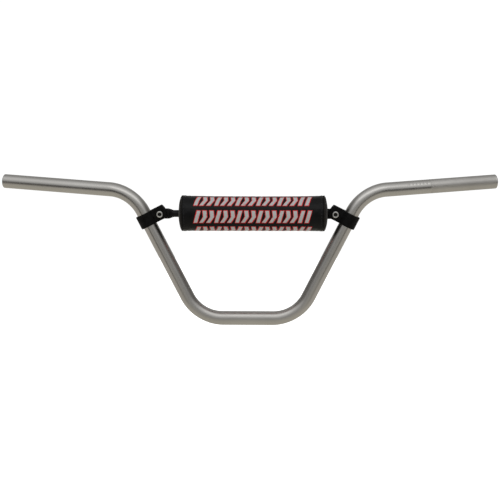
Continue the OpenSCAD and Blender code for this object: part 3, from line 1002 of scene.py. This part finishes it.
def make_end_panel(side, name):
    """A domed cloth disc, gathered a little at its rim and turned in at the crossbar."""
    thick = 1.0 * MM
    dome = size("pad_left_end_panel").x - 1.3 * MM
    rows = []
    for i in range(17):
        t = i / 16
        r = EYE_R + 0.5 * MM + (PANEL_R + 0.5 * MM - EYE_R) * t
        share = r / PANEL_R
        x = PANEL_TIP_X - 0.15 * MM - dome * share ** 2.2
        rows.append((r, x, t))
    lip = [(EYE_R + 0.05 * MM, PANEL_TIP_X - 1.0 * MM, 0),
           (EYE_R + 0.3 * MM, PANEL_TIP_X - 2.6 * MM, 0)]
    outer = lip[::-1] + rows
    inner = [(r, x - thick * (0.5 if t == 0 else 1), t) for r, x, t in rows][::-1]
    inner.append((EYE_R + 1.2 * MM, PANEL_TIP_X - 2.7 * MM, 0))
    loop = outer + inner
    columns = 136
    verts = []
    for j in range(columns):
        angle = 360 * j / columns
        a = math.radians(angle)
        for r, x, t in loop:
            gather = 0.22 * MM * t ** 3 * math.sin(a * SEAM_STITCHES)
            spot = Vector((math.cos(a) * r * 90, math.sin(a) * r * 90, side * 3.1))
            soft = 0.35 * MM * noise.noise(spot) * math.sin(math.pi * min(1, t))
            verts.append(on_pad(side * (x + gather + soft), angle, r))
    obj = face_outwards(link(name, verts, strip_faces(columns, len(loop), closed_rows=True)))
    sharpen(obj, 60)
    return obj


def make_piping(side, name):
    """The bound seam between the cover and the end panel, pinched at each stitch."""
    columns, around = 272, 14
    verts = []
    for j in range(columns):
        angle = 360 * j / columns
        pinch = 0.10 * MM * (0.5 + 0.5 * math.cos(math.radians(angle) * SEAM_STITCHES))
        wander = 0.12 * MM * noise.noise(Vector((angle / 9, side * 5.0, 0)))
        for k in range(around):
            a = TAU * k / around
            r = PIPING_R - pinch - 0.1 * MM
            verts.append(on_pad(side * (PIPING_X + r * math.sin(a)), angle,
                                PIPING_RING_R + wander + r * math.cos(a)))
    return face_outwards(link(name, verts, strip_faces(columns, around, closed_rows=True)))


def make_stitches(name, places, thread_r):
    """Short raised threads. places holds (middle, direction along the stitch, outward) in turn,
    with each stitch's half length."""
    verts, faces = [], []
    sections, around = 7, 8
    for middle_at, along, outward, half in places:
        side = along.cross(outward)
        start = len(verts)
        for i in range(sections):
            t = -1 + 2 * i / (sections - 1)
            lift = 0.55 * thread_r * math.cos(t * math.pi / 2) - 0.35 * thread_r
            r = thread_r * math.sqrt(max(0.05, 1 - abs(t) ** 3))
            for k in range(around):
                a = TAU * k / around
                verts.append(middle_at + along * (half * t) + outward * (lift + r * math.sin(a))
                             + side * (r * math.cos(a)))
        faces += [tuple(start + i for i in f) for f in strip_faces(sections, around)]
        faces.append(tuple(start + k for k in reversed(range(around))))
        faces.append(tuple(start + (sections - 1) * around + k for k in range(around)))
    return face_outwards(link(name, verts, faces))


def seam_stitches(side, tree):
    places = []
    x = side * (COVER_HALF - 2.5 * MM)
    for i in range(SEAM_STITCHES):
        angle = SEAM_ANGLE + (i + 0.5) * 360 / SEAM_STITCHES
        outward = outward_at(x, angle)
        along = Vector((1, 0, 0)).cross(outward)
        at = on_pad(x, angle, surface_radius(tree, x, angle) + 0.18 * MM)
        places.append((at, along, outward, 1.9 * MM))
    return places


# ------------------------------------------------------------------ print

PRINT_START = -4.0          # direction of the middle of the first row
PRINT_PITCH = 58.5
PRINT_HALF_ANGLE = 19.8
PRINT_HALF = size("pad_print_film").x / 2
PRINT_SLANT = 5.4 * MM       # how far a row's top leans
INK_T = 0.10 * MM
OUTLINE = 1.1 * MM


def film_patch(tree, row, x0, x1, lift, grow, shape):
    """One closed patch of film on the cover. shape gives the shift of its left and right edges
    at a height from -1 to 1; grow widens the patch on every side."""
    columns, rows = max(2, int((x1 - x0) / (1.6 * MM)) + 1), 11
    middle_angle = PRINT_START + row * PRINT_PITCH
    grow_angle = math.degrees(grow / PAD_R)
    tops, bottoms = [], []
    for i in range(rows):
        v = -1 + 2 * i / (rows - 1)
        angle = middle_angle + v * (PRINT_HALF_ANGLE + grow_angle)
        left, right = shape(v)
        for j in range(columns):
            u = j / (columns - 1)
            a, b = x0 + left - grow, x1 + right + grow
            x = a + (b - a) * u + PRINT_SLANT * 0.5 * v
            r = surface_radius(tree, x, angle)
            tops.append(on_pad(x, angle, r + lift))
            bottoms.append(on_pad(x, angle, r - 0.1 * MM))
    return tops + bottoms, shell_faces(rows, columns)


def print_blocks():
    """A row's pattern: slanted bars and arrow heads in turn, as (start, end, shape)."""
    def bar(v):
        return 0.0, 0.0

    def arrow(v):
        point = 3.6 * MM * (0.5 - abs(v))
        return point, point

    gap = 5.3 * MM
    row = [(6.0, bar), (6.4, arrow), (6.4, arrow)] * 5 + [(6.0, bar), (6.0, bar)]
    total = 2 * PRINT_HALF - PRINT_SLANT - 2 * OUTLINE
    scale = (total - gap * (len(row) - 1)) / sum(w for w, _ in row)
    at, out = -total / 2, []
    for width, shape in row:
        out.append((at, at + width * scale, shape))
        at += width * scale + gap
    return out


def make_print(tree):
    """Five rows of the pattern round the cover: grey film on a wider red film."""
    for name, mat, lift, grow in (("print_outline", RED_INK, INK_T, OUTLINE),
                                  ("print_fill", GREY_INK, 2 * INK_T, 0.0)):
        verts, faces = [], []
        for row in range(-2, 3):
            for x0, x1, shape in print_blocks():
                v, f = film_patch(tree, row, x0, x1, lift, grow, shape)
                faces += [tuple(len(verts) + i for i in face) for face in f]
                verts += v
        obj = face_outwards(link(name, verts, faces))
        sharpen(obj, 40)
        nodes = ["pad_print_film"] if name == "print_fill" else []
        place(obj, mat, "pad_cover", "print_film", *nodes)


# ------------------------------------------------------------------ closure


def shell_piece(name, in_r, out_r, start, stop, half_len, wobble=0.0, columns=28, along=60):
    """A closed curved strip. in_r and out_r are functions of the share from start to stop."""
    outer, inner = [], []
    for i in range(along):
        s = -1 + 2 * i / (along - 1)
        for j in range(columns):
            t = j / (columns - 1)
            angle = start + (stop - start) * t
            soft = wobble * noise.noise(Vector((s * 9, t * 3, start)))
            outer.append(on_pad(half_len * s, angle, out_r(t) + soft))
            inner.append(on_pad(half_len * s, angle, in_r(t) + soft))
    return sharpen(face_outwards(link(name, outer + inner, shell_faces(along, columns))), 50)


def make_closure():
    low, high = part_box("pad_hook_tape")
    tape_half = (high.x - low.x) / 2
    tape_start, tape_stop = TAPE_ANGLES
    loop = shell_piece("pad_loop_strip", lambda t: PAD_R - 0.2 * MM, lambda t: PAD_R + TAPE_T,
                       tape_start, tape_stop, FLAP_HALF, 0.05 * MM)
    place(loop, TAPE, "pad_cover", "hook_loop", "pad_loop_tape")
    hook_in = PAD_R + TAPE_T + 0.3 * MM
    hook = shell_piece("pad_hook_strip", lambda t: hook_in, lambda t: hook_in + TAPE_T,
                       tape_start, tape_stop, tape_half, 0.05 * MM)
    place(hook, TAPE, "pad_flap", "hook_loop", "pad_hook_tape")

    flap_in = hook_in + TAPE_T
    root = HINGE_ANGLE - HEM_ANGLE
    stop = HINGE_ANGLE + FLAP_ANGLE
    ramp_end = (tape_start - 2 - root) / (stop - root)

    def under(t):
        return PAD_R + HEM_LIFT + (flap_in - PAD_R - HEM_LIFT) * smoothstep(t / ramp_end)

    def over(t):
        edge = min(t, 1 - t) * 40
        return under(t) + COVER_T * math.sqrt(min(1.0, max(0.12, edge)))

    flap = shell_piece("pad_flap", under, over, root, stop, FLAP_HALF, 0.12 * MM, 44, 90)
    flap.data.materials.append(VINYL)
    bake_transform(flap)
    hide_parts("pad_closure_flap", "pad_flap_hem")

    def row_of(angle, radius):
        out = []
        for i in range(FLAP_STITCHES):
            x = (i - (FLAP_STITCHES - 1) / 2) * STITCH_PITCH
            out.append((on_pad(x, angle, radius), Vector((1, 0, 0)), outward_at(x, angle),
                        1.8 * MM))
        return out

    edge_rows = row_of(stop - 4, flap_in + COVER_T + 0.15 * MM)
    edge_rows += row_of(tape_start + 1.5, flap_in + COVER_T + 0.15 * MM)
    place(make_stitches("flap_stitches", edge_rows, THREAD_R), THREAD, "pad_flap", "seam_thread",
          "pad_flap_thread")
    hem_r = PAD_R + HEM_LIFT + COVER_T + 0.2 * MM
    place(make_stitches("hem_stitches", row_of(root + 2.5, hem_r), THREAD_R), THREAD, "pad_cover",
          "seam_thread")


def make_pad():
    tree = make_cover()
    make_foam()
    for side, word in ((1, "left"), (-1, "right")):
        place(make_end_panel(side, f"pad_{word}_panel"), PANEL, "pad_cover", "panel_fabric",
              f"pad_{word}_end_panel")
        place(make_piping(side, f"pad_{word}_binding"), PIPING, "pad_cover", "piping_vinyl",
              f"pad_{word}_piping")
        place(make_stitches(f"pad_{word}_stitches", seam_stitches(side, tree), THREAD_R), THREAD,
              "pad_cover", "seam_thread", f"pad_{word}_seam_thread")
    make_print(tree)
    make_closure()


# ------------------------------------------------------------------ studio

CAMERA_AZ, CAMERA_EL, CAMERA_ROLL = 1.856, 8.8, -0.12
CAMERA_DISTANCE = 1.7946
CAMERA_TARGET = Vector((3.62 * MM, 0, 108.9 * MM))
CAMERA_LENS = 82.42
FLOOR_Z, FLOOR_HALF = -1.2, 8.0

# The studio round the object: (degrees from the front over the top, brightness, warmth).
STUDIO = [(-180, 0.45, 0.03), (-150, 0.56, 0.16), (-70, 0.58, 0.17), (-28, 0.51, 0.13),
          (-10, 0.40, 0.06), (2, 0.36, 0.03), (12, 0.48, 0), (25, 0.72, 0), (52, 0.94, 0),
          (75, 0.84, 0), (92, 0.64, 0), (112, 0.42, 0.02), (135, 0.38, 0.03), (180, 0.45, 0.03)]
# How much of the dim colour takes over away from the middle, by the same degrees.
DIM_ZONE = [(-180, 0, 0), (-40, 0, 0), (-28, 0.75, 0), (-19, 1, 0), (-3, 1, 0), (8, 0, 0),
            (180, 0, 0)]
DIM_COLOUR = (0.03, 0.028, 0.028)
LOW_SIDE = (0.56, 0.53, 0.49)
HIGH_SIDE = (0.17, 0.165, 0.16)


def make_camera():
    data = bpy.data.cameras.new("camera")
    data.lens, data.sensor_width = CAMERA_LENS, 36
    data.clip_start, data.clip_end = 0.05, 50
    cam = bpy.data.objects.new("camera", data)
    bpy.context.scene.collection.objects.link(cam)
    az, el = math.radians(CAMERA_AZ), math.radians(CAMERA_EL)
    back = Vector((math.sin(az) * math.cos(el), -math.cos(az) * math.cos(el), math.sin(el)))
    cam.location = CAMERA_TARGET + back * CAMERA_DISTANCE
    cam.rotation_mode = "QUATERNION"
    look = (-back).to_track_quat("-Z", "Y")
    cam.rotation_quaternion = look @ Quaternion((0, 0, 1), math.radians(CAMERA_ROLL))
    bpy.context.scene.camera = cam


def make_world():
    """White behind the object, and a plain studio round it: a broad soft light above and in
    front, a dimmer room behind and below, and a dim strip in front below the horizon."""
    world = bpy.data.worlds.new("studio")
    bpy.context.scene.world = world
    world.use_nodes = True
    tree = world.node_tree
    tree.nodes.clear()
    sky = add(tree, "ShaderNodeTexCoord").outputs["Generated"]
    parts = add(tree, "ShaderNodeSeparateXYZ", Vector=sky)

    def calc(operation, *values):
        node = add(tree, "ShaderNodeMath", operation=operation)
        for socket, value in zip(node.inputs, values):
            feed(tree, socket, value)
        return node.outputs["Value"]

    def tint(factor, first, second):
        return add(tree, "ShaderNodeMix", data_type="RGBA", Factor=factor, A=first,
                   B=second).outputs["Result"]

    def ramp_of(value, stops):
        node = add(tree, "ShaderNodeValToRGB", Fac=value)
        first = node.color_ramp.elements[0]
        node.color_ramp.elements.remove(node.color_ramp.elements[1])
        for degrees, level, warmth in stops:
            at = (degrees + 180) / 360
            e = first if at == 0 else node.color_ramp.elements.new(at)
            e.color = (level, level * (1 - warmth * 0.3), level * (1 - warmth), 1)
        return node.outputs["Color"]

    def between(value, low, high):
        return add(tree, "ShaderNodeMapRange", interpolation_type="SMOOTHSTEP", Value=value,
                   From_Min=low, From_Max=high).outputs["Result"]

    front = calc("MULTIPLY", parts.outputs["Y"], -1.0)
    turn = calc("ADD", calc("DIVIDE", calc("ARCTAN2", parts.outputs["Z"], front), TAU), 0.5)
    away = calc("ABSOLUTE", parts.outputs["X"])
    dim = calc("MULTIPLY", ramp_of(turn, DIM_ZONE), between(away, 0.34, 0.50))
    dim = calc("MULTIPLY", dim, calc("SUBTRACT", 1.0, between(away, 0.64, 0.84)))
    colour = tint(dim, ramp_of(turn, STUDIO), DIM_COLOUR)
    sides = tint(between(parts.outputs["Z"], -0.35, 0.1), LOW_SIDE, HIGH_SIDE)
    colour = tint(between(away, 0.5, 0.9), colour, sides)

    studio = add(tree, "ShaderNodeBackground", Strength=1.0, Color=colour)
    white = add(tree, "ShaderNodeBackground", Strength=1.05, Color=(1.0, 1.0, 1.0))
    path = add(tree, "ShaderNodeLightPath")
    mix = add(tree, "ShaderNodeMixShader", Fac=path.outputs["Is Camera Ray"])
    feed(tree, mix.inputs[1], studio.outputs["Background"])
    feed(tree, mix.inputs[2], white.outputs["Background"])
    add(tree, "ShaderNodeOutputWorld", Surface=mix.outputs["Shader"])


def make_floor():
    """A wide white floor well below the object. Only the camera sees it, so the light that the
    object gets from below is the studio's."""
    verts = [(x * FLOOR_HALF, y * FLOOR_HALF, FLOOR_Z)
             for x, y in ((-1, -1), (1, -1), (1, 1), (-1, 1))]
    floor = link("floor", verts, [(0, 1, 2, 3)])
    floor.data.materials.append(FLOOR)
    floor.visible_glossy = floor.visible_diffuse = floor.visible_shadow = False


def make_key_light():
    """A broad soft light above and in front."""
    data = bpy.data.lights.new("key_above", "AREA")
    data.shape, data.size, data.size_y = "RECTANGLE", 2.0, 0.9
    data.energy = 2.5
    obj = bpy.data.objects.new("key_above", data)
    obj.location = (0.0, -1.2, 1.6)
    obj.rotation_mode = "QUATERNION"
    aim = Vector((0, 0, 0.12))
    obj.rotation_quaternion = (aim - obj.location).to_track_quat("-Z", "Y")
    bpy.context.scene.collection.objects.link(obj)


def make_studio():
    bpy.context.scene.view_settings.view_transform = "Standard"
    make_camera()
    make_world()
    make_floor()
    make_key_light()


make_studio()
make_bar()
make_crossbar()
make_fasteners()
make_pad()
